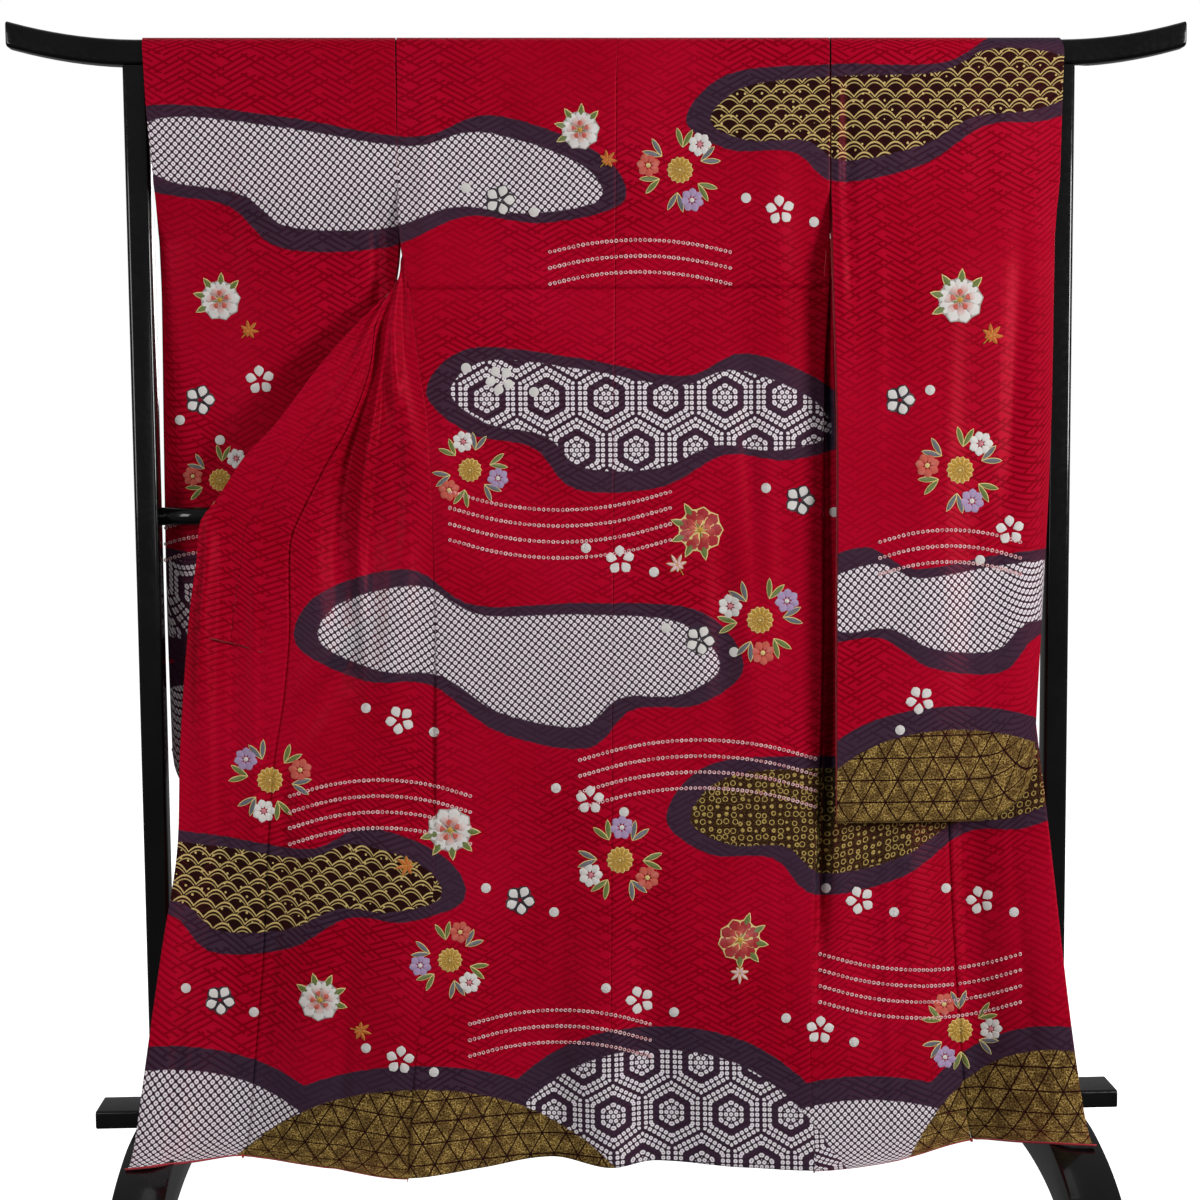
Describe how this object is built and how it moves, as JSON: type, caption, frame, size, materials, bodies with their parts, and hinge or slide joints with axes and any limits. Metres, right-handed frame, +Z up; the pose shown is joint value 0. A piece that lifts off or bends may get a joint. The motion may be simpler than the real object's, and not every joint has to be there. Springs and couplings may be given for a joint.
{
  "type": "furisode kimono on a kimono stand",
  "caption": "Long-sleeved silk kimono hung back to front over the bar of a lacquered stand, with both fronts swung open beside the back.",
  "frame": {"origin": "on the floor, in the middle of the stand: midway between the posts and under the bar", "axes": "+Z up; the kimono's back faces -Y; +X is to the right of someone who looks at the back"},
  "size_m": [1.69, 0.6398, 1.7279],
  "materials": {
    "crimson_silk": "soft woven silk with dyed and embroidered patterns",
    "black_lacquer": "glossy black lacquer"
  },
  "bodies": {
    "root": {"body_left": "crimson_silk", "body_right": "crimson_silk", "overlap_left": "crimson_silk", "overlap_right": "crimson_silk", "collar": "crimson_silk", "sleeve_left": "crimson_silk", "sleeve_right": "crimson_silk", "top_bar": "black_lacquer", "post_left": "black_lacquer", "post_right": "black_lacquer", "mid_rail": "black_lacquer", "base_rail": "black_lacquer", "foot_left": "black_lacquer", "foot_right": "black_lacquer"}
  },
  "joints": []
}
